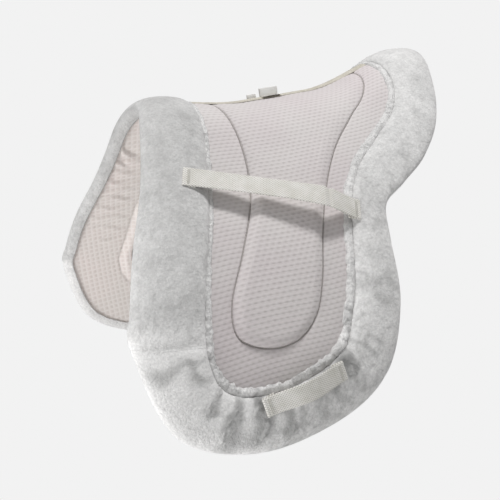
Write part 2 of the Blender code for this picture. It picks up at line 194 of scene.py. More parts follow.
# Round the pad, as (station, value) pairs from the front of the spine to its rear
welt_reach = [(0, 0.002), (3.5, 0.002), (5.3, 0.007), (9, 0.008), (15, 0.009), (17, 0.004)]
welt_unrest = [(0, 0.4), (4, 0.5), (5, 1.0), (9, 1.0), (10.5, 0.6), (17, 0.4)]
fold_heights = [
    (0, 0.0004), (3.5, 0.0010), (4.9, 0.0025), (5.3, 0.0140), (8.5, 0.0120), (9.5, 0.0085),
    (11, 0.0040), (13, 0.0020), (15, 0.0026), (17, 0.0014),
]
furrow_depths = [(0, 0), (4.6, 0), (5.2, 0.0048), (9, 0.0044), (10, 0.0016), (12, 0), (17, 0)]
roughness = [(0, 0.5), (3, 0.65), (4.5, 0.85), (5.3, 1.55), (9, 1.55), (11, 1.1), (14, 0.9), (17, 0.6)]
# Painted light and shade of the fleece round the pad: bright at the lower front, where the side lights
# fall, and dark under the bottom, turned away from them
painted_light_tones = [
    (0, 0.44), (2, 0.48), (4.6, 0.52), (5.2, 1.00), (6.4, 0.90), (7.4, 0.30), (8.6, 0.28),
    (9.4, 0.52), (10, 0.58), (12, 0.46), (14, 0.54), (17, 0.66),
]

# Pattern: stations round the pad, as in the model
stations = np.array([
    ((-0.110, 0.000), (-0.150, 0.000), (-0.232, 0.000)),
    ((-0.111, 0.080), (-0.160, 0.088), (-0.257, 0.100)),
    ((-0.118, 0.155), (-0.182, 0.168), (-0.286, 0.185)),
    ((-0.140, 0.230), (-0.211, 0.252), (-0.323, 0.268)),
    ((-0.182, 0.305), (-0.245, 0.332), (-0.351, 0.342)),
    ((-0.221, 0.368), (-0.267, 0.409), (-0.363, 0.390)),
    ((-0.226, 0.412), (-0.259, 0.466), (-0.333, 0.510)),
    ((-0.190, 0.436), (-0.205, 0.489), (-0.225, 0.572)),
    ((-0.145, 0.435), (-0.140, 0.482), (-0.115, 0.565)),
    ((-0.108, 0.408), (-0.082, 0.452), (-0.020, 0.519)),
    ((-0.083, 0.362), (-0.048, 0.388), (0.026, 0.427)),
    ((-0.057, 0.300), (-0.020, 0.312), (0.043, 0.335)),
    ((-0.020, 0.235), (0.012, 0.247), (0.063, 0.280)),
    ((0.030, 0.168), (0.055, 0.197), (0.115, 0.254)),
    ((0.085, 0.118), (0.108, 0.160), (0.175, 0.228)),
    ((0.133, 0.084), (0.160, 0.128), (0.234, 0.180)),
    ((0.160, 0.048), (0.194, 0.082), (0.277, 0.103)),
    ((0.168, 0.000), (0.204, 0.000), (0.300, 0.000)),
])
CENTRE, PANEL, OUTER = 0, 1, 2
last_station = len(stations) - 1
front_roll_end, lower_border_end = 5, 9
tip_start, tip_end = 6.5, 10.5  # of the centre pad
roll_heights = [
    (0, front_roll_height), (front_roll_end - 0.1, front_roll_height),
    (front_roll_end + 0.4, lower_border_height), (lower_border_end - 0.4, lower_border_height),
    (lower_border_end + 0.4, rear_roll_height), (last_station, rear_roll_height),
]
rolls = [
    ("front_roll", 0, front_roll_end, front_roll_height),
    ("lower_border", front_roll_end, lower_border_end, lower_border_height),
    ("rear_roll", lower_border_end, last_station, rear_roll_height),
]
seam_pinches = [(front_roll_end, 0.24), (lower_border_end, 0.12)]


# Draped form and pattern lines

def smooth_step(value):
    value = np.clip(value, 0.0, 1.0)
    return value * value * (3 - 2 * value)


def bell(value):
    """1 at nothing, and fading away on both sides within about 2."""
    return np.exp(-(value**2))


def unit(vectors):
    """The same directions, one long."""
    return vectors / np.linalg.norm(vectors, axis=-1, keepdims=True)


def crest_height(x):
    """Rise of the ridge to the withers in front and to the saddle's rear."""
    return sum(height * smooth_step((x - start) / (end - start)) for height, start, end in ridge_rises)


def place(x, v, n, side):
    """Pattern points on the draped form; side is -1 for left, +1 for right."""
    x, v, n = np.broadcast_arrays(x, v, n)
    sine = math.sin(flank_angle)
    crest = crest_height(x)
    radius = (apex_height - crest) * sine / (1 - sine)
    turn = math.pi / 2 - flank_angle
    angle = v / radius
    slope = v - radius * turn + radius / math.tan(flank_angle)
    straight = np.minimum(slope, flank_straight)
    lean = flank_angle - (slope - straight) / flank_curve_radius
    y = straight * sine + flank_curve_radius * (np.cos(lean) - math.cos(flank_angle))
    z = apex_height - straight * math.cos(flank_angle)
    z = z - flank_curve_radius * (sine - np.sin(lean))
    on_ridge = v < radius * turn
    y = np.where(on_ridge, (radius + n) * np.sin(angle), y + n * np.cos(lean))
    z = np.where(on_ridge, crest - radius + (radius + n) * np.cos(angle), z + n * np.sin(lean))
    return np.stack([x, side * y, z], axis=-1)


def lay(xv, n, side):
    """Pattern points on the draped form, none of them past the ridge line."""
    return place(xv[..., 0], np.maximum(xv[..., 1], 0), n, side)


def line_point(line, t):
    """Points of a pattern line, smooth through its stations and square to the ridge."""
    t = np.asarray(t, float)
    index = np.clip(t.astype(int), 0, last_station - 1)
    f = (t - index)[..., None]

    def station(i):
        mirrored = (i < 0) | (i > last_station)
        i = np.where(i < 0, -i, np.where(i > last_station, 2 * last_station - i, i))
        point = stations[i, line].copy()
        point[..., 1] *= np.where(mirrored, -1, 1)
        return point

    p0, p1, p2, p3 = (station(index + step) for step in (-1, 0, 1, 2))
    return 0.5 * (
        2 * p1 + (p2 - p0) * f + (2 * p0 - 5 * p1 + 4 * p2 - p3) * f**2
        + (3 * p1 - p0 - 3 * p2 + p3) * f**3
    )


def inset_point(line, t, inset):
    """Points moved square to a pattern line, toward the centre pad where inset > 0."""
    t = np.asarray(t, float)
    step = 0.01
    along = line_point(line, np.minimum(t + step, last_station))
    along = along - line_point(line, np.maximum(t - step, 0))
    along[t <= 0] = (0.0, 1.0)
    along[t >= last_station] = (0.0, -1.0)
    along = unit(along)
    square = np.stack([along[..., 1], -along[..., 0]], axis=-1)
    return line_point(line, t) + square * np.asarray(inset)[..., None]


def path_normals(path):
    """Directions square to a path of flat points, to its left."""
    along = unit(np.gradient(path, axis=0))
    return np.stack([-along[:, 1], along[:, 0]], axis=1)


def line_gap(line, other, marks):
    """Distance between two pattern lines at each mark, as a column."""
    return np.linalg.norm(line_point(line, marks) - line_point(other, marks), axis=1)[:, None]


def length_along(points):
    """Distance along a row of points, from the first."""
    return np.concatenate([[0], np.cumsum(np.linalg.norm(np.diff(points, axis=0), axis=1))])


def even_marks(line, spacing, first=0, last=last_station):
    """Places round the pad, evenly spaced along a pattern line."""
    fine = np.linspace(first, last, 2000)
    run = length_along(line_point(line, fine))
    count = max(int(run[-1] / spacing), 2)
    return np.interp(np.linspace(0, run[-1], count + 1), run, fine)


def run_at(line, marks):
    """Distance round the pad along a pattern line, from the front of the spine."""
    fine = np.linspace(0, last_station, 4000)
    return np.interp(marks, fine, length_along(line_point(line, fine)))


def read_table(places, table):
    """Values between the (place, value) pairs of a table."""
    return np.interp(places, *zip(*table))


def distance_to_line(points, line):
    """Distance in the pattern from each point to a pattern line."""
    curve = line_point(line, np.linspace(0, last_station, 400))
    flat = points.reshape(-1, 2)
    best = np.full(len(flat), 1.0)
    block = 20000
    for start in range(0, len(flat), block):
        gap = flat[start:start + block, None, :] - curve[None, :, :]
        best[start:start + block] = np.sqrt((gap**2).sum(-1).min(1))
    return best.reshape(points.shape[:-1])


# Noise

def lattice(cells, seed):
    """A random number in 0..1 for each whole-numbered cell."""
    c = cells.astype(np.int64)
    h = c[..., 0] * 374761393 + c[..., 1] * 668265263 + c[..., 2] * 2147483647 + seed * 974634777
    h = (h ^ (h >> 13)) * 1274126177
    h = (h ^ (h >> 16)) & 0xFFFFFF
    return h / float(0xFFFFFF)


def soft_noise(points, size, seed):
    """Smooth noise in -1..1 with features about as large as size."""
    p = points / size
    cell = np.floor(p)
    f = smooth_step(p - cell)
    total = 0.0
    for dx, dy, dz in product((0, 1), repeat=3):
        weight = np.abs(1 - dx - f[..., 0]) * np.abs(1 - dy - f[..., 1])
        weight = weight * np.abs(1 - dz - f[..., 2])
        total = total + weight * lattice(cell + np.array([dx, dy, dz]), seed)
    return total * 2 - 1


def line_noise(run, size, seed):
    """Smooth noise along a line."""
    return soft_noise(np.stack([run, 0 * run, 0 * run], axis=-1), size, seed)


def tufts(points, size, seed):
    """Rounded bumps packed side by side, 1 on each bump's top and 0 in the creases."""
    p = points / size
    cell = np.floor(p)
    nearest = np.full(p.shape[:-1], 9.0)
    for step in product((-1, 0, 1), repeat=3):
        other = cell + np.array(step)
        middle = other + np.stack([lattice(other, seed + k) for k in range(3)], axis=-1)
        nearest = np.minimum(nearest, ((p - middle) ** 2).sum(-1))
    return 1 - np.clip(nearest, 0, 1)


# Meshes

def mesh_from_faces(name, points, faces, material, uv=None, painted_shading=None):
    """A mesh of faces with the same number of corners each."""
    mesh = bpy.data.meshes.new(name)
    mesh.vertices.add(len(points))
    mesh.vertices.foreach_set("co", points.astype(np.float32).ravel())
    mesh.loops.add(faces.size)
    mesh.loops.foreach_set("vertex_index", faces.astype(np.int32).ravel())
    mesh.polygons.add(len(faces))
    mesh.polygons.foreach_set("loop_start", np.arange(0, faces.size, faces.shape[1], dtype=np.int32))
    mesh.update(calc_edges=True)
    mesh.materials.append(material)
    mesh.shade_smooth()
    if uv is not None:
        layer = mesh.uv_layers.new(name="pattern")
        layer.data.foreach_set("uv", uv[faces.ravel()].astype(np.float32).ravel())
    # Each point's painted light and shade: low in dips, creases and folds, high on tops; the materials
    # turn it into colour
    if painted_shading is not None:
        attribute = mesh.attributes.new("painted_shading", "FLOAT", "POINT")
        attribute.data.foreach_set("value", painted_shading.astype(np.float32))
    mesh.validate()
    obj = bpy.data.objects.new(name, mesh)
    scene.collection.objects.link(obj)
    return obj


def thick_sheet(name, outer, inner, side, material, uv=None, painted_shading=None):
    """A closed sheet between two grids of points of the same size."""
    count = outer[..., 0].size
    index = np.arange(count).reshape(outer.shape[:2])
    top = np.stack([index[:-1, :-1], index[1:, :-1], index[1:, 1:], index[:-1, 1:]], axis=-1)
    top = top.reshape(-1, 4)
    rim = np.concatenate([index[0, :], index[1:, -1], index[-1, -2::-1], index[-2:0:-1, 0]])
    after = np.roll(rim, -1)
    wall = np.stack([rim, after, after + count, rim + count], axis=1)
    quads = np.concatenate([top, top[:, ::-1] + count, wall])
    if side > 0:
        quads = quads[:, ::-1]
    points = np.concatenate([outer.reshape(-1, 3), inner.reshape(-1, 3)])
    if uv is not None:
        uv = np.concatenate([uv.reshape(-1, 2)] * 2)
    if painted_shading is not None:
        painted_shading = np.concatenate([painted_shading.ravel()] * 2)
    return mesh_from_faces(name, points, quads, material, uv, painted_shading)


def laid_sheet(name, xv, high, low, side, material, uv=None, painted_shading=None):
    """A closed sheet over pattern points, between two heights on the draped form."""
    return thick_sheet(name, lay(xv, high, side), lay(xv, low, side), side, material, uv, painted_shading)


# Materials

def srgb(red, green, blue):
    def channel(value):
        value /= 255
        return value / 12.92 if value <= 0.04045 else ((value + 0.055) / 1.055) ** 2.4

    return (channel(red), channel(green), channel(blue), 1.0)


class Surface:
    """A material, with short calls that add shader nodes to it."""

    def __init__(self, name, colour, roughness, sheen=0.0):
        self.material = bpy.data.materials.new(name)
        self.material.use_nodes = True
        self.tree = self.material.node_tree
        self.inputs = self.tree.nodes["Principled BSDF"].inputs
        self.inputs["Base Color"].default_value = colour
        self.inputs["Roughness"].default_value = roughness
        self.inputs["Specular IOR Level"].default_value = 0.2
        self.inputs["Sheen Weight"].default_value = sheen
        self.inputs["Sheen Roughness"].default_value = 0.6

    def add(self, kind, **values):
        node = self.tree.nodes.new(kind)
        for name, value in values.items():
            if name in node.inputs:
                node.inputs[name].default_value = value
            else:
                setattr(node, name, value)
        return node

    def feed(self, value, socket):
        """Links a node's output to a socket, or sets the socket to a plain value."""
        if isinstance(value, bpy.types.NodeSocket):
            self.tree.links.new(value, socket)
        else:
            socket.default_value = value

    def pattern(self):
        return self.add("ShaderNodeUVMap", uv_map="pattern").outputs["UV"]

    def pattern_xy(self):
        split = self.add("ShaderNodeSeparateXYZ")
        self.feed(self.pattern(), split.inputs["Vector"])
        return split.outputs["X"], split.outputs["Y"]

    # The painted light and shade that each mesh holds per point
    def painted_shading(self):
        return self.add("ShaderNodeAttribute", attribute_name="painted_shading").outputs["Fac"]

    def noise(self, scale, detail=3.0, vector=None):
        node = self.add("ShaderNodeTexNoise", Scale=scale, Detail=detail)
        if vector is None:
            vector = self.add("ShaderNodeTexCoord").outputs["Object"]
        self.feed(vector, node.inputs["Vector"])
        return node.outputs["Fac"]

    def ramp(self, value, low, high, start=(0, 0, 0, 1), end=(1, 1, 1, 1)):
        node = self.add("ShaderNodeValToRGB")
        for element, position, colour in zip(node.color_ramp.elements, (low, high), (start, end)):
            element.position = position
            element.color = colour
        self.feed(value, node.inputs["Fac"])
        return node.outputs["Color"]

    def mix(self, factor, a, b, blend_type="MIX"):
        node = self.add("ShaderNodeMix", data_type="RGBA", blend_type=blend_type)
        for value, index in ((factor, 0), (a, 6), (b, 7)):
            self.feed(value, node.inputs[index])
        return node.outputs[2]

    def darken(self, colour, shade):
        return self.mix(1.0, colour, shade, "MULTIPLY")

    def bump(self, height, strength, distance, normal=None):
        node = self.add("ShaderNodeBump", Strength=strength, Distance=distance)
        self.feed(height, node.inputs["Height"])
        if normal is not None:
            self.feed(normal, node.inputs["Normal"])
        return node.outputs["Normal"]

    def math(self, operation, *values):
        node = self.add("ShaderNodeMath", operation=operation)
        for value, socket in zip(values, node.inputs):
            self.feed(value, socket)
        return node.outputs[0]

    def finish(self, colour, normal):
        self.feed(colour, self.inputs["Base Color"])
        self.feed(normal, self.inputs["Normal"])
        return self.material


def waffle_marks(cloth, width, height, stagger, length, depth):
    """The weave's cells: 1 in a cell's middle, painted dark as shade, and 1 along the lines between
    cells, painted pale as highlight.
    """
    calc = cloth.math
    x, y = cloth.pattern_xy()
    rows = calc("DIVIDE", y, height)
    row = calc("ROUND", rows)
    off = calc("SUBTRACT", rows, row)
    down = calc("MULTIPLY", off, height / depth)
    column = calc("FRACT", calc("MULTIPLY_ADD", row, stagger, calc("DIVIDE", x, width)))
    aside = calc("SUBTRACT", column, 0.5)
    across = calc("MULTIPLY", aside, width / length)
    far = calc("ADD", calc("MULTIPLY", down, down), calc("MULTIPLY", across, across))
    middle = calc("EXPONENT", calc("MULTIPLY", far, -1.0))

    def line(offset):
        return calc("POWER", calc("MULTIPLY", calc("ABSOLUTE", offset), 2.0), 4.0)

    if stagger:
        return middle, line(off)
    return middle, calc("MAXIMUM", line(off), line(aside))


def waffle_material(name, light, dark, tint, pale, cell, contrast, pale_share):
    """Waffle-woven cotton: small cells with middles painted dark as shade, lines between them painted
    pale as highlight, painted shade in the dips, slow changes of tint, fine yarns.
    """
    cloth = Surface(name, light, 0.92, sheen=0.15)
    base = cloth.mix(cloth.ramp(cloth.noise(9.0, 2.0), 0.35, 0.7), light, tint)
    # Painted shade in the weave's dips and the lining's creases, paler on the tops
    dips_in_painted_shade = cloth.darken(base, off_white)
    base = cloth.mix(cloth.ramp(cloth.painted_shading(), 0.0, 0.6), dips_in_painted_shade, base)
    # Cells' middles painted dark as shade, unevenly, and the lines between cells painted pale as
    # highlight
    middle, ridge = waffle_marks(cloth, *cell)
    uneven = cloth.ramp(cloth.noise(110.0, 2.0), 0.25, 0.7, (0.25, 0.25, 0.25, 1))
    strength = cloth.math("MULTIPLY", cloth.math("MULTIPLY", middle, uneven), contrast)
    base = cloth.mix(strength, base, dark)
    yarn = cloth.math("MULTIPLY", cloth.noise(1300.0, 2.0, cloth.pattern()), 0.25)
    height = cloth.math("MULTIPLY_ADD", middle, -1.0, yarn)
    return cloth.finish(
        cloth.mix(cloth.math("MULTIPLY", ridge, pale_share), base, pale),
        cloth.bump(height, 0.6, 0.0006),
    )


def fleece_material():
    """Curled pile with painted light and shade: paler at the tips, greyer down in the creases."""
    pile = Surface("fleece", srgb(232, 231, 230), 1.0, sheen=0.25)
    # Painted shade down in the creases, up to painted light on the tips, from each point's painted
    # light and shade
    shade = pile.ramp(pile.painted_shading(), 0.0, 1.0, srgb(140, 140, 139), off_white)
    grey = srgb(238, 238, 238)
    patches = pile.ramp(pile.noise(26.0, 3.0), 0.3, 0.7, grey)
    flecks = pile.ramp(pile.noise(330.0, 3.0), 0.35, 0.65, grey)
    fine = pile.bump(pile.noise(480.0, 4.0), 0.6, 0.0012)
    return pile.finish(
        pile.darken(pile.darken(shade, patches), flecks),
        pile.bump(pile.noise(190.0, 3.0), 0.6, 0.0030, fine),
    )


def woven_material(name, light, dark, rib, across, roughness=0.75):
    """Flat woven tape: fine ribs along it, crossed by the weft, with painted shade in the grooves
    between them.
    """
    tape = Surface(name, light, roughness, sheen=0.1)

    def wave(output, period):
        return tape.math("SINE", tape.math("MULTIPLY", output, 2 * math.pi / period))

    x, y = tape.pattern_xy()
    weave = tape.math("MULTIPLY", wave(x, rib), wave(y, across))
    weave = tape.math("MULTIPLY_ADD", weave, 0.5, 0.5)
    worn = tape.ramp(tape.noise(60.0, 3.0), 0.3, 0.7, srgb(236, 236, 232))
    # Painted shade in the grooves between ribs, and random wear
    colour = tape.darken(tape.ramp(weave, 0.05, 0.7, dark, light), worn)
    return tape.finish(colour, tape.bump(weave, 0.6, 0.0005))


def plain_cloth(name, colour, dark, grain):
    """Thread, felt or plain cloth with a speckled grain."""
    cloth = Surface(name, colour, 0.9)
    speck = cloth.noise(grain, 4.0)
    return cloth.finish(cloth.ramp(speck, 0.3, 0.7, dark, colour), cloth.bump(speck, 0.4, 0.0006))


# The weave's dips are multiplied by this as painted shade; it is also the fleece's palest painted tone,
# on the tips
off_white = srgb(246, 245, 244)
# Each weave: light colour, painted shade in the cells' middles, slow tint, painted highlight on the
# lines between cells, cell, and how strong the middles and lines are painted
quilted_cloth = waffle_material(
    "quilted_cloth", srgb(211, 206, 205), srgb(150, 144, 142), srgb(206, 198, 199), srgb(240, 236, 234),
    quilted_cell, 0.24, 0.26,
)
lining_cloth = waffle_material(
    "lining_cloth", srgb(233, 226, 221), srgb(160, 150, 143), srgb(238, 226, 222), srgb(252, 249, 247),
    lining_cell, 0.20, 0.50,
)
fleece = fleece_material()
webbing = woven_material("webbing", srgb(238, 236, 232), srgb(190, 187, 181), 0.0042, 0.0034, 0.6)
binding_tape = woven_material("binding_tape", srgb(220, 215, 204), srgb(188, 181, 168), 0.0012, 0.0012)
thread = plain_cloth("thread", srgb(205, 199, 195), srgb(165, 160, 157), 900.0)
white_thread = plain_cloth("white_thread", srgb(226, 224, 218), srgb(188, 186, 178), 900.0)
felt = plain_cloth("felt", srgb(190, 186, 178), srgb(160, 156, 148), 300.0)
wadding = plain_cloth("wadding", srgb(236, 236, 233), srgb(210, 210, 206), 120.0)
label_cloth = plain_cloth("label_cloth", srgb(240, 239, 237), srgb(228, 227, 224), 1400.0)


# Waffle weave

def waffle(xv, fade):
    """Height of the weave in -1..1: cells in staggered rows."""
    across = np.cos(2 * np.pi * xv[..., 0] / waffle_width)
    return across * np.cos(np.pi * xv[..., 1] / waffle_height) * fade


def band_point(marks, share):
    """At each mark, points between the centre seam (0), the panel's edge (1) and the outer edge (2)."""
    inner = inset_point(CENTRE, marks, -seam_gap)[:, None]
    middle = line_point(PANEL, marks)[:, None]
    outer = line_point(OUTER, marks)[:, None]
    share = share[..., None]
    near = inner + (middle - inner) * np.clip(share, 0, 1)
    return near + (outer - middle) * np.clip(share - 1, 0, 1)


def centre_patch(rows, columns, inset):
    """Pattern points of the centre pad, a grid of rows down it and columns across it."""
    down = np.linspace(0, 1, rows)
    across = np.linspace(0, 1, columns)

    def edge(marks, shares):
        marks = np.interp(shares, np.linspace(0, 1, len(marks)), marks)
        return inset_point(CENTRE, marks, inset)

    front = edge(even_marks(CENTRE, 0.002, 0, tip_start), down)[:, None]
    rear = edge(even_marks(CENTRE, 0.002, tip_end)[::-1], down)[:, None]
    tip = edge(even_marks(CENTRE, 0.002, tip_start, tip_end), across)
    row = front + (rear - front) * across[None, :, None]
    return row + (tip - row[-1])[None] * down[:, None, None] ** 3


def cushion(distance, v):
    """Share of the centre pad's swell: quick at the seam, less by the spine."""
    lower = smooth_step((v - 0.09) / 0.16)
    run = cushion_run * (1 - 0.35 * lower)
    swell = np.sin(np.pi / 2 * np.clip(distance / run, 0, 1)) ** 0.75
    spine = 0.15 + 0.35 * smooth_step((v - binding_half_width - 0.003) / 0.05)
    return swell * (spine + 0.4 * lower)


# Pieces of one side

def quilted_panel(prefix, side):
    """Quilted cloth from the centre seam to the welt."""
    marks = even_marks(PANEL, 0.0020)
    width = line_gap(PANEL, CENTRE, marks)
    low = groove_half_width / width
    high = 1 - (welt_gap + welt_width) * 0.5 / width
    share = low + (high - low) * np.linspace(0, 1, 34)
    xv = band_point(marks, share)
    from_seam = (share - low) * width
    from_welt = (high - share) * width
    fade = smooth_step(np.minimum(from_seam, from_welt) / edge_fade)
    wave = waffle(xv, fade)
    swell = panel_swell * np.sin(np.pi * share) ** 0.6
    swell = swell - groove_depth * (1 - smooth_step(from_seam / groove_runs[0]))
    slow = soft_noise(lay(xv, 0.0, side), 0.035, 3) * 0.0006 * fade
    top = panel_top + swell + wave * waffle_depth + slow
    under = np.minimum(panel_bottom, top - 0.0004)
    # Painted shade: darker in the weave's dips, paler on the cells' tops
    painted_shading = 0.5 + 0.5 * wave
    return laid_sheet(prefix + "flap_panel_cloth", xv, top, under, side, quilted_cloth, xv, painted_shading)


def centre_pad(prefix, side):
    """The raised pad in the middle of a side: cover, felt insert and lining."""
    xv = centre_patch(205, 115, groove_half_width)
    distance = distance_to_line(xv, CENTRE) - groove_half_width
    rise = cushion(distance, np.maximum(xv[..., 1], 0))
    wave = waffle(xv, smooth_step(distance / edge_fade))
    slow = soft_noise(lay(xv, 0.0, side), 0.05, 5) * 0.0007 * smooth_step(distance / 0.02)
    dip = groove_depth * (1 - smooth_step(distance / groove_runs[1]))
    top = panel_top + centre_crown * rise + wave * waffle_depth + slow - dip
    under = np.minimum(panel_bottom + centre_crown * rise - dip * 0.5, top - 0.0003)
    # Painted shade: darker in the weave's dips, paler on the cells' tops
    painted_shading = 0.5 + 0.5 * wave
    cover = laid_sheet(
        prefix + "centre_cover_cloth", xv, top, under, side, quilted_cloth, xv, painted_shading
    )

    coarse = np.s_[::6, ::6]
    high = under[coarse] - layer_gap - 0.0004
    low = felt_bottom - centre_inner_crown * rise[coarse]
    insert = laid_sheet(prefix + "centre_insert_felt", xv[coarse], high, low, side, felt)

    half = np.s_[::2, ::2]
    xv, wave = xv[half], wave[half]
    high = lining_thickness - centre_inner_crown * rise[half]
    low = high - lining_thickness - wave * waffle_depth
    # Painted shade: darker in the weave's dips, paler on the cells' tops
    painted_shading = 0.5 - 0.5 * wave
    lining = laid_sheet(
        prefix + "centre_lining_cloth", xv, high, low, side, lining_cloth, xv, painted_shading
    )
    return cover, insert, lining


def inner_lining(prefix, side):
    """Waffle lining on the horse side, with the creases that the photo shows."""
    marks = even_marks(PANEL, 0.0028)
    border = line_gap(OUTER, PANEL, marks)
    panel = line_gap(PANEL, CENTRE, marks)
    end = border + panel - hem_width + hem_overlap
    run = np.linspace(0, 1, 60) * end
    xv = band_point(marks, np.where(run < panel, run / panel, 1 + (run - panel) / border))
    fade = smooth_step(run / edge_fade) * smooth_step((end - run) / edge_fade)
    wave = waffle(xv, fade)
    crease = (lining_creases(xv) - inner_pad_swell(xv)) * fade
    under = np.minimum(crease - wave * waffle_depth, lining_thickness - 0.0003)
    # Painted shade: darker in the creases and in the weave's dips, paler on the ridges beside the
    # creases
    painted_shading = np.clip(0.6 - 0.3 * wave - crease / 0.0030, 0, 1)
    return laid_sheet(
        prefix + "lining_cloth", xv, lining_thickness, under, side, lining_cloth, xv, painted_shading
    )


def lining_creases(xv):
    """Creases across the front of the lining, deepest near the spine, each with a ridge beside it."""
    total = np.zeros(xv.shape[:-1])
    for middle_x, middle_v, angle, length, depth in creases:
        x, v = xv[..., 0] - middle_x, xv[..., 1] - middle_v
        along = x * math.cos(angle) + v * math.sin(angle)
        across = -x * math.sin(angle) + v * math.cos(angle)
        across = across + 0.003 * np.sin(along / 0.011 + middle_v * 90)
        reach = bell(along / length)
        total += depth * bell(across / crease_width) * reach
        total -= depth * 0.9 * bell((across - 0.0075) / 0.0045) * reach
    return total


def inner_pad_swell(xv):
    """The raised pad that shows inside each flap, with a stitched dip round its front."""
    into = xv[..., 0] - read_table(xv[..., 1], inner_pad_front)
    below = inner_pad_end - xv[..., 1]
    into = -inner_corner * np.log(np.exp(-into / inner_corner) + np.exp(-below / inner_corner))
    raised = inner_swell * smooth_step(into / 0.016) * smooth_step((0.12 - into) / 0.05)
    return raised - inner_dip * bell(into / 0.0022)


def felt_core(prefix, side):
    """Pressed felt between the cloths, a little lower under the panel than under the border."""
    marks = even_marks(PANEL, 0.008)
    end = 2 - felt_inset / line_gap(OUTER, PANEL, marks)
    inside = np.repeat([[0, 0.2, 0.4, 0.6, 0.8, 1.0]], len(marks), 0)
    share = np.concatenate([inside, 1 + (end - 1) * np.linspace(0.15, 1, 6)], axis=1)
    top = np.where(share < 1, felt_top - 0.0008, felt_top)
    return laid_sheet(
        prefix + "felt_core_sheet", band_point(marks, share), top, felt_bottom, side, felt
    )


def centre_stitches(prefix, side):
    """Sewn line in the groove, a row of short stitches with a dip between each two."""
    marks = even_marks(CENTRE, 0.0008)
    run = length_along(line_point(CENTRE, marks))[:, None]
    bead = np.abs(np.sin(np.pi * run / stitch_length)) ** 0.5
    angles = np.linspace(0, np.pi, 5)
    inset = stitch_half_width * np.cos(angles) * (0.6 + 0.4 * bead)
    xv = inset_point(CENTRE, np.repeat(marks[:, None], 5, 1), inset)
    base = panel_bottom - 0.0002
    top = base + (0.0003 + 0.0016 * np.sin(angles)) * (0.7 + 0.3 * bead)
    return laid_sheet(prefix + "centre_seam_thread", xv, top, base, side, thread)


# Fleece

def puffs(run, seed):
    """Rounded puffs end to end along a gathered edge: profile, height and shift."""
    draw = np.random.default_rng(seed)
    shortest, longest = puff_lengths
    cuts = np.cumsum(draw.uniform(shortest, longest, int(run.max() / shortest) + 2)) - longest
    index = np.clip(np.searchsorted(cuts, run) - 1, 0, len(cuts) - 2)
    share = np.clip((run - cuts[index]) / (cuts[index + 1] - cuts[index]), 0, 1)
    height = draw.uniform(0.65, 1.15, len(cuts))[index]
    shift = draw.uniform(-1.0, 1.0, len(cuts))[index]
    return np.sin(np.pi * share) ** 0.7, height, shift


def gathered_welt(prefix, side):
    """The soft roll between fleece and panel, drawn up by its seam in uneven puffs."""
    marks = even_marks(PANEL, welt_spacing)
    run = length_along(line_point(PANEL, marks))[:, None]
    dome, height, shift = puffs(run, 40 + side)
    unrest = read_table(marks, welt_unrest)[:, None]
    dome = 1 - (1 - dome) * 0.30 * unrest
    ragged = line_noise(run, 0.0055, 63 + side)
    inner = (welt_gap + welt_width) * (1 + 0.30 * unrest * shift * dome) + 0.0016 * unrest * ragged
    outer = read_table(marks, welt_reach)[:, None]
    half = (inner + outer) / 2 * (0.7 + 0.3 * dome)
    angles = np.linspace(0, np.pi, 18)
    inset = (inner - outer) / 2 + half * np.cos(angles)
    xv = inset_point(PANEL, np.repeat(marks[:, None], len(angles), 1), inset)
    rise = (welt_height + 0.16 * outer) * (1 + (height - 1) * unrest) * (0.25 + 0.75 * dome)
    base = border_bottom - 0.0004
    arc = np.where(angles < np.pi / 2, np.sin(angles), np.sin(angles) ** 0.5)
    top = base + 0.0003 + rise * arc
    spread = np.dstack([xv, top])
    lumps = (tufts(spread, 0.0080, 60) + 0.9 * soft_noise(spread, 0.013, 62)) * unrest
    pile = 0.0026 * lumps + 0.0006 * soft_noise(spread, 0.0022, 61)
    top = top + pile * arc * strap_press(xv)
    # Painted light and shade: paler along the top of the welt's arch and on its lumps, greyer between
    painted_shading = np.clip(0.58 + 0.22 * arc * dome + 0.20 * lumps, 0, 1)
    surface = lay(xv, top, side)
    name = prefix + "fleece_welt"
    roll = thick_sheet(name + "_roll", surface, lay(xv, base, side), side, fleece, xv, painted_shading)
    fibres = fleece_fibres(name + "_fibres", surface, painted_shading, xv, side, 50 + side, welt_spacing)
    return roll, fibres


def gathers(local, share, seed):
    """Uneven folds that run out from the welt, deepest beside it, with puffs between."""
    draw = np.random.default_rng(seed)
    out = 1 - share
    total = np.zeros(share.shape)
    middle = 0.0
    while middle < local.max() + 0.03:
        middle += draw.uniform(*fold_spacing)
        half = draw.uniform(*fold_half_width)
        deep = draw.uniform(*fold_depth)
        reach = draw.uniform(*fold_reach)
        tilt = draw.uniform(*fold_tilt)
        line = middle + tilt * out + 0.0020 * np.sin(out * draw.uniform(6, 12) + middle * 300)
        length = smooth_step((reach - out) / 0.35)
        total += deep * length * bell((local - line) / (half * (1 + 0.8 * out)))
    return 1 - np.exp(-1.3 * total)


def strap_frame(front, rear):
    """A strap's front end, its length, and the directions along and across it."""
    front, rear = np.array(front), np.array(rear)
    length = np.linalg.norm(rear - front)
    along = (rear - front) / length
    return front, length, along, np.array([-along[1], along[0]])


def strap_press(xv):
    """Less pile where a strap lies on the fleece: 1 away from the straps, low under them."""
    press = np.ones(xv.shape[:-1])
    for name, front, rear, width, lifts, crease in straps:
        front, length, along, square = strap_frame(front, rear)
        u, w = (xv - front) @ along, (xv - front) @ square
        outside = np.maximum(np.abs(w) - width / 2, np.maximum(-u, u - length))
        press = np.minimum(press, smooth_step(outside / 0.008 + 0.15))
    return press


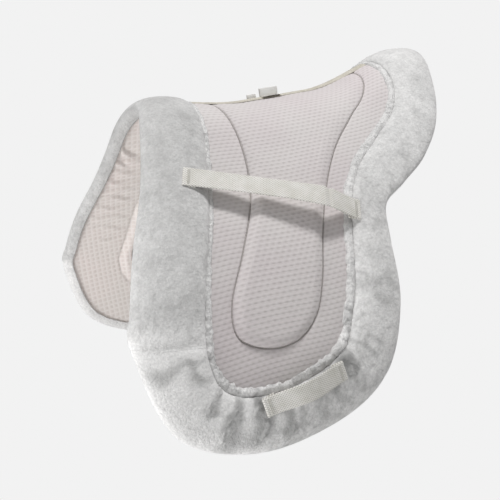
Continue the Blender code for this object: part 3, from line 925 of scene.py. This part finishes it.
def loop_hollows(xv):
    """Hollows in the pile at the girth loop's ends: 1 at their middle, 0 away from them."""
    along, square = strap_frame(girth_loop_front, girth_loop_rear)[2:]
    total = np.zeros(xv.shape[:-1])
    for end, shift, inward, reach in hollows:
        spot = end + shift * along - inward * square
        total += np.exp(-(np.sum((xv - spot) ** 2, axis=-1) / reach**2))
    return total


def seam_pinch(run, first, last):
    """Shares of the pile's height and of its tufts that are left beside the seam of two rolls."""
    away = np.ones(run.shape)
    height = np.ones(run.shape)
    for seam, deep in seam_pinches:
        if seam in (first, last):
            gap = np.abs(run - run_at(OUTER, seam))
            away = np.minimum(away, gap)
            height = height - deep * bell(gap / pinch_width)
    return height, 1 - 0.5 * bell(away / 0.010)


def roll_folds(marks, run, share, lift, hollow, seed):
    """Folds across a roll, a furrow along it and the loop's hollows, none deeper than the roll."""
    valley = gathers(run_at(PANEL, marks), share, seed)
    folds = (0.25 * smooth_step(share / 0.8) - valley) * read_table(marks, fold_heights)
    furrow_at = 0.70 + 0.07 * line_noise(run, 0.03, seed + 50)
    furrow = read_table(marks, furrow_depths) * (0.6 + 0.4 * line_noise(run, 0.030, seed + 51))
    folds = folds - bell((share - furrow_at) / 0.075) * furrow - hollow_depth * hollow
    room = 0.9 * np.maximum(lift - border_bottom, 0) + 1e-6
    return np.where(folds < 0, -room * np.tanh(-folds / room), folds)


def weighted(weights, layers):
    """Sum of layers, each by its own share."""
    return sum(weight * layer for weight, layer in zip(weights, layers))


def fleece_roll(prefix, name, side, first, last, seed):
    """One length of the fleece border: a rolled pile with tufts, gathers and a hem."""
    ends = max(first - roll_tuck, 0), min(last + roll_tuck, last_station)
    marks = even_marks(OUTER, pile_spacing, *ends)
    outer_line = line_point(OUTER, marks)
    welt_line = inset_point(PANEL, marks, -read_table(marks, welt_reach))
    width = np.linalg.norm(outer_line - welt_line, axis=1)[:, None]
    marks = marks[:, None]
    run = run_at(OUTER, marks)

    turn = np.concatenate([np.linspace(math.pi, 0, arch_steps), np.zeros(hem_steps)])
    hem_turn = np.linspace(0, math.pi / 2, hem_steps + 1)[1:]
    hem_turn = np.concatenate([np.zeros(arch_steps), hem_turn])
    depth = width / 2 * (1 - np.cos(turn)) + hem_width * (1 - np.cos(hem_turn))
    share = depth / width  # 0 at the outer edge, 1 at the welt
    xv = outer_line[:, None] + (welt_line - outer_line)[:, None] * share[..., None]
    pinch, calm = seam_pinch(run, first, last)
    press = 1 - ridge_press * (1 - smooth_step(welt_line[:, 1:] / ridge_press_run))
    height = read_table(marks, roll_heights) * pinch * press
    lift = border_bottom + height * np.abs(np.sin(turn)) ** 0.8
    lift = lift - (border_bottom + hem_drop) * np.sin(hem_turn)

    spread = np.dstack([xv, lift])
    coarse, medium, fine = tuft_sizes
    curls = (
        tufts(spread, coarse, seed), tufts(spread + 0.3, medium, seed + 10),
        soft_noise(spread, fine, seed + 20),
        soft_noise(spread, 0.042, seed + 30) + 0.8 * soft_noise(spread, 0.022, seed + 31),
    )
    rough = read_table(marks, roughness)
    hollow = loop_hollows(xv)
    folds = roll_folds(marks, run, share, lift, hollow, seed)
    puff = (rough * weighted(tuft_heights, curls) + folds) * strap_press(xv)
    root = np.clip((math.pi - turn) / 0.2, 0, 1)
    amount = puff * calm * root * np.clip(1 - hem_turn / (math.pi / 2), 0, 1) ** 0.5
    backing = np.minimum(-pile_thickness * np.clip(root, 0.2, 1), amount - 0.0014)
    base = lay(xv, lift, side)
    normal = grid_normals(base, side)
    outer = keep_on_side(base + normal * amount[..., None], side)
    inner = keep_on_side(base + normal * backing[..., None], side)

    # Painted shade of the curls: paler on the tufts' tops, greyer between them, a little darker overall
    shades = rough * weighted(tuft_painted_shades, curls) - 0.075
    # Painted shadow in the folds, and painted shade in the hollows at the girth loop's ends
    shadow = smooth_step(-folds / shadow_depth)
    # The fleece's painted light and shade round the pad
    painted_shading = np.clip(read_table(marks, painted_light_tones) + shades, 0, 1)
    painted_shading = painted_shading * (1 - 0.62 * shadow) * (1 - 0.85 * hollow)
    name = prefix + name
    pile = thick_sheet(name + "_pile", outer, inner, side, fleece, xv, painted_shading)
    shown = np.s_[:, :-hem_steps // 2]
    fibres = fleece_fibres(
        name + "_fibres", outer[shown], painted_shading[shown], xv[shown], side, seed, pile_spacing
    )
    return pile, fibres


def fleece_fibres(name, surface, painted_shading, xv, side, seed, spacing):
    """Short tapered fibres over the pile, which soften its outline."""
    draw = np.random.default_rng(seed)
    columns = surface.shape[1]
    across = np.linalg.norm(np.diff(surface, axis=1), axis=-1)
    area = np.maximum(across[:-1], 1e-6).ravel()
    count = int(fibres_per_metre2 * area.sum() * spacing)
    cell = draw.choice(len(area), count, p=area / area.sum())
    i, j = cell // (columns - 1), cell % (columns - 1)
    f, g = draw.random(count)[:, None], draw.random(count)[:, None]

    def pick(grid):
        top = grid[i, j] * (1 - g) + grid[i, j + 1] * g
        return top * (1 - f) + (grid[i + 1, j] * (1 - g) + grid[i + 1, j + 1] * g) * f

    foot, normal = pick(surface), pick(grid_normals(surface, side))
    lean = draw.normal(size=(count, 3)) * fibre_lean
    direction = unit(normal + lean - normal * (lean * normal).sum(1, keepdims=True))
    length = draw.uniform(*fibre_lengths, (count, 1))
    first = unit(np.cross(direction, draw.normal(size=(count, 3))))
    second = np.cross(direction, first)
    radius = draw.uniform(*fibre_radii, (count, 1))
    foot = foot - direction * fibre_root
    points = [
        foot + (first * math.cos(turn) + second * math.sin(turn)) * radius for turn in fibre_corners
    ]
    points.append(foot + direction * length)
    points = keep_on_side(np.stack(points, axis=1).reshape(-1, 3), side)
    faces = np.array([(0, 1, 3), (1, 2, 3), (2, 0, 3), (2, 1, 0)])
    triangles = (np.arange(count)[:, None] * 4 + faces[:, None]).reshape(-1, 3)
    # Painted shade: each fibre darker at its root, down in the pile, and paler at its tip
    shade = np.clip(pick(painted_shading[..., None]) * 0.7, 0, 1)
    shades = np.concatenate([shade, shade, shade, shade + 0.25], axis=1)
    uv = np.repeat(pick(xv), 4, axis=0)
    return mesh_from_faces(name, points, triangles, fleece, uv, shades.ravel())


def keep_on_side(points, side):
    """Keeps every point on its own side of the ridge plane."""
    points[..., 1] = side * np.maximum(points[..., 1] * side, 0.0002)
    return points


def grid_normals(points, side):
    """Outward directions of a grid of points."""
    normal = np.cross(np.gradient(points, axis=0), np.gradient(points, axis=1))
    normal /= np.linalg.norm(normal, axis=-1, keepdims=True) + 1e-12
    return normal * -side


def roll_filling(prefix, name, side, first, last, height):
    """Fibre filling inside a roll, clear of the pile's backing."""
    marks = even_marks(OUTER, 0.01, first + 0.02, last - 0.02)
    inner_line, outer_line = line_point(PANEL, marks), line_point(OUTER, marks)
    angles = np.linspace(math.radians(20), math.radians(160), 9)
    share = (0.5 - 0.42 * np.cos(angles))[:, None]
    xv = outer_line[:, None] + (inner_line - outer_line)[:, None] * share
    xv[..., 1] = np.maximum(xv[..., 1], 0) + 0.001
    low = border_bottom + 0.0008
    high = low + (height - 0.0065) * np.sin(angles)
    return laid_sheet(prefix + name + "_filling_fibre", xv, high, low, side, wadding)


# Webbing

def strap_lift(lifts, share):
    """Height of a strap's middle, smooth between its (share, height) pairs."""
    total = lifts[0][1]
    for (start, low), (end, high) in zip(lifts, lifts[1:]):
        total = total + (high - low) * smooth_step((share - start) / (end - start))
    return total


def strap_path(length, lifts):
    """Middle line of a strap, turned under at both ends, as (u, n) points."""
    radius = (webbing_thickness + fold_gap) / 2

    def turn(end, direction):
        top = strap_lift(lifts, end)
        under = np.linspace(webbing_fold, radius, 12)
        angles = np.radians(np.linspace(-80, 80, 9))
        inward = np.concatenate([under, radius - radius * np.cos(angles)])
        height = np.concatenate([0 * under - radius, radius * np.sin(angles)])
        return np.stack([end * length - direction * inward, top - radius + height], axis=1)

    clear = radius / length
    shares = np.linspace(clear, 1 - clear, int(length / 0.0015))
    top = np.stack([shares * length, strap_lift(lifts, shares)], axis=1)
    return np.concatenate([turn(0.0, -1), top, turn(1.0, 1)[::-1]])


def on_strap(strap, u, w, n, side):
    """Points along (u), across (w) and above (n) a strap, on the draped form."""
    front, length, along, square = strap
    return lay(front + along * u[..., None] + square * w[..., None], n, side)


def webbing_strap(name, side, front, rear, width, lifts, crease):
    """A strap, ribbed along and across, that is drawn in and pressed down at its crease."""
    strap = strap_frame(front, rear)
    length = strap[1]
    path = strap_path(length, lifts)
    normal = path_normals(path)
    run = length_along(path)[:, None]
    across = np.linspace(-0.5, 0.5, 25)
    rib = 0.00012 * np.cos(2 * np.pi * across * width / 0.0034)
    selvage = -0.00035 * smooth_step((np.abs(across) - 0.44) / 0.06)
    weft = 0.00009 * np.cos(2 * np.pi * run / 0.0021)
    half = webbing_thickness / 2 + (rib + selvage) + weft
    bend = bell((path[:, :1] / length - crease_share) / 0.014) * crease
    across = across * width

    def face(sign):
        u, n = np.moveaxis(path[:, None] + sign * normal[:, None] * half[..., None], -1, 0)
        return on_strap(strap, u, across * (1 - 0.10 * bend), n - 0.0022 * bend, side)

    uv = np.stack(np.broadcast_arrays(run, across), axis=-1)
    piece = thick_sheet(name + "_webbing", face(1), face(-1), side, webbing, uv)
    front_tack = bar_tack(name + "_front_tack_stitches", strap, tack_inset, width, lifts, side)
    rear_tack = bar_tack(name + "_rear_tack_stitches", strap, length - tack_inset, width, lifts, side)
    return piece, front_tack, rear_tack


def bar_tack(name, strap, middle, width, lifts, side):
    """Two rows of close zigzag stitches over a strap's fold."""
    steps = tack_zigzags * 6
    w = np.linspace(-0.5, 0.5, steps) * (width - 0.006)
    zigzag = 0.0006 * np.sin(2 * np.pi * np.linspace(0, tack_zigzags, steps))
    first, second = (middle + offset + zigzag for offset in (-0.0011, 0.0011))
    path = np.stack([np.concatenate([first, second[::-1]]), np.concatenate([w, w[::-1]])], axis=1)
    ring = np.linspace(0, np.pi, 4)
    path = path[:, None] + path_normals(path)[:, None] * 0.0005 * np.cos(ring)[:, None]
    u, w = np.moveaxis(path, -1, 0)
    lift = strap_lift(lifts, u / strap[1]) + webbing_thickness / 2
    high = on_strap(strap, u, w, lift + 0.00015 + 0.0006 * np.sin(ring), side)
    low = on_strap(strap, u, w, lift + 0.00005, side)
    return thick_sheet(name, high, low, side, white_thread)


# Spine

def spine_tape(name, bottom, puff, settle, front, rear):
    """Tape over the spine seam, with a row of stitches near each edge pressed into it."""
    x = np.linspace(front, rear, 240)
    share = np.linspace(0, 1, 14)
    v = share * (binding_half_width + 0.003)
    thickness = binding_thickness * (1 - 0.5 * share**6)
    stitch = 0.0004 * bell((v - 0.0065) / 0.0007)
    beads = stitch * np.abs(np.sin(np.pi * x / 0.004))[:, None]
    drop = settle * share**3
    high = bottom + thickness + puff * (1 - share**2) - beads - drop
    xv = np.dstack(np.meshgrid(x, v, indexing="ij"))
    return [
        laid_sheet(prefix + name, xv, high, bottom - drop, side, binding_tape, xv)
        for prefix, side in side_names
    ]


def folded_tab(name, node):
    """A blank folded label in a node's place: two leaves with a rounded fold at the top."""
    low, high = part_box(node)
    width, height = high.x - low.x, high.z - low.z
    half = 0.00065
    leaf = np.linspace(0, height - half, 14)
    turn = np.radians(np.linspace(0, 180, 9))[1:-1]
    y = np.concatenate([0 * leaf - half, -half * np.cos(turn), 0 * leaf + half])
    z = np.concatenate([leaf, height - half + half * np.sin(turn), leaf[::-1]])
    y = y * (1 + 0.6 * np.sin(np.pi * np.clip(z / height, 0, 1)))
    path = np.stack([y, z], axis=1)
    normal = path_normals(path) * 0.00024
    x = np.linspace(-0.5, 0.5, 20) * width
    sway = 0.0006 * np.sin(np.pi * (x / width + 0.5) * 1.3) * (path[:, 1:] / height)

    def face(sign):
        y, z = (path + sign * normal).T[..., None]
        points = (low.x + high.x) / 2 + x, y + sway, low.z + z
        return np.stack(np.broadcast_arrays(*points), axis=-1)

    return thick_sheet(name, face(1), face(-1), 1, label_cloth)


def lying_leaf(name, side):
    """A blank label leaf sewn under the upright one, lying on the cloth, its end lifting."""
    x = label_x + np.linspace(-0.5, 0.5, 24) * label_width
    v = leaf_start + np.linspace(0, 1, 14) * leaf_depth
    xv = np.dstack(np.meshgrid(x, v, indexing="ij"))
    share = (xv[..., 1] - leaf_start) / leaf_depth
    sway = 0.0004 * np.sin(np.pi * (xv[..., 0] - x[0]) / label_width * 1.4)
    low = leaf_bottom + (0.0014 * share**2 + sway * share)
    hem = 0.0003 * bell((share - 0.86) / 0.05)
    return laid_sheet(name, xv, low + leaf_thickness - hem, low, side, label_cloth, xv)


# Build

for prefix, side in side_names:
    body = prefix + "side"
    cover, insert, centre_lining = centre_pad(prefix, side)
    welt, welt_fibres = gathered_welt(prefix, side)
    made = [
        (quilted_panel(prefix, side), "flap_panel", "quilted_cloth", 0.5),
        (cover, "centre_cover", "quilted_cloth", 0.8),
        (insert, "centre_insert", "felt", None),
        (centre_lining, "centre_lining", "lining_cloth", 0.5),
        (inner_lining(prefix, side), "lining", "lining_cloth", 0.4),
        (felt_core(prefix, side), "felt_core", "felt", None),
        (centre_stitches(prefix, side), "centre_seam", "thread", None),
        (welt, "fleece_welt", "fleece", 0.7),
        (welt_fibres, "fleece_welt", "fleece", None),
    ]
    for name, first, last, height in rolls:
        pile, fibres = fleece_roll(prefix, name, side, first, last, 100 + side)
        filling = roll_filling(prefix, name, side, first, last, height)
        made.append((pile, name, "fleece", 0.8))
        made.append((fibres, name, "fleece", None))
        made.append((filling, name + "_filling", "wadding", None))
    for name, *sizes in straps:
        strap, front_tack, rear_tack = webbing_strap(prefix + name, side, *sizes)
        made.append((strap, name, "webbing", None))
        made.append((front_tack, name + "_front_tack", "thread", None))
        made.append((rear_tack, name + "_rear_tack", "thread", None))
    for piece, node, slot, fill in made:
        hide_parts(prefix + node)
        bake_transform(piece)

binding_low, binding_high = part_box("spine_binding")
inner_tape_bottom = -0.15 * centre_inner_crown - 0.0009 - binding_thickness
for name, node, bottom, puff, settle in (
    ("spine_binding_tape", "spine_binding", tape_bottom, 0.0008, 0.0009),
    ("spine_under_tape", "spine_inner_tape", inner_tape_bottom, 0.0, -0.0006),
):
    for piece in spine_tape(name, bottom, puff, settle, binding_low.x, binding_high.x):
        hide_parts(node)
        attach(piece, "spine")

leaf = lying_leaf("left_label_cloth_leaf", -1)
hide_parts("left_label_leaf")
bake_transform(leaf)

for name, node, body in (
    ("label_cloth_tab", "label_tab", "label"),
    ("size_cloth_tab", "size_tab", "spine"),
):
    tab = folded_tab(name, node)
    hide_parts(node)
    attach(tab, body)


# Floor, camera and light

background = srgb(242, 242, 242)
floor_size = 6.0
floor_height = -0.62
floor_corners = [
    (x * floor_size, y * floor_size, floor_height) for x, y in ((-1, -1), (1, -1), (1, 1), (-1, 1))
]
floor_mesh = bpy.data.meshes.new("floor")
floor_mesh.from_pydata(floor_corners, [], [(0, 1, 2, 3)])
floor = bpy.data.objects.new("floor", floor_mesh)
scene.collection.objects.link(floor)
floor_surface = Surface("floor", srgb(225, 225, 225), 0.9)
floor_mesh.materials.append(floor_surface.material)


def seen_by_camera(tree, shader, seen, output):
    """Shows the camera one shader, and gives the light another."""
    path = tree.nodes.new("ShaderNodeLightPath")
    mix = tree.nodes.new("ShaderNodeMixShader")
    tree.links.new(path.outputs["Is Camera Ray"], mix.inputs[0])
    tree.links.new(shader.outputs[0], mix.inputs[1])
    tree.links.new(seen.outputs[0], mix.inputs[2])
    tree.links.new(mix.outputs[0], output.inputs["Surface"])


tree = floor_surface.tree
glow = tree.nodes.new("ShaderNodeEmission")
glow.inputs["Color"].default_value = background
seen_by_camera(tree, tree.nodes["Principled BSDF"], glow, tree.nodes["Material Output"])

world = bpy.data.worlds.new("studio")
scene.world = world
world.use_nodes = True
tree = world.node_tree
tree.nodes.clear()
lighting = tree.nodes.new("ShaderNodeBackground")
lighting.inputs["Color"].default_value = (1, 1, 1, 1)
lighting.inputs["Strength"].default_value = 0.34
backdrop = tree.nodes.new("ShaderNodeBackground")
backdrop.inputs["Color"].default_value = background
seen_by_camera(tree, lighting, backdrop, tree.nodes.new("ShaderNodeOutputWorld"))


def area_light(name, location, target, size, power):
    data = bpy.data.lights.new(name, "AREA")
    data.shape = "DISK"
    data.size = size
    data.energy = power
    light = bpy.data.objects.new(name, data)
    light.location = location
    aim = Vector(target) - Vector(location)
    light.rotation_euler = aim.to_track_quat("-Z", "Y").to_euler()
    scene.collection.objects.link(light)
    return light


area_light("key", (0.5, -0.45, 2.1), (0, -0.05, -0.2), 0.45, 40)
area_light("side_fill", (-2.2, -1.3, -0.1), (-0.1, 0, -0.2), 1.4, 6)
low_fill = area_light("low_fill", (-1.6, -0.45, -0.4), (-0.2, 0.05, -0.25), 0.7, 13.5)
low_fill.visible_camera = False

camera_azimuth = -22.89
camera_elevation = 15.09
camera_roll = -8.85
camera_distance = 1.1185
camera_target = (-0.0763, 0.0, -0.2427)
focal_pixels = 632.2
image_pixels = 500
sensor = 36.0

camera_data = bpy.data.cameras.new("camera")
camera_data.sensor_width = sensor
camera_data.lens = focal_pixels / image_pixels * sensor
camera = bpy.data.objects.new("camera", camera_data)
camera.matrix_world = (
    Matrix.Translation(camera_target)
    @ Matrix.Rotation(math.radians(camera_azimuth), 4, "Z")
    @ Matrix.Rotation(math.radians(90 - camera_elevation), 4, "X")
    @ Matrix.Rotation(math.radians(camera_roll), 4, "Z")
    @ Matrix.Translation((0, 0, camera_distance))
)
scene.collection.objects.link(camera)
scene.camera = camera
scene.view_settings.view_transform = "Standard"
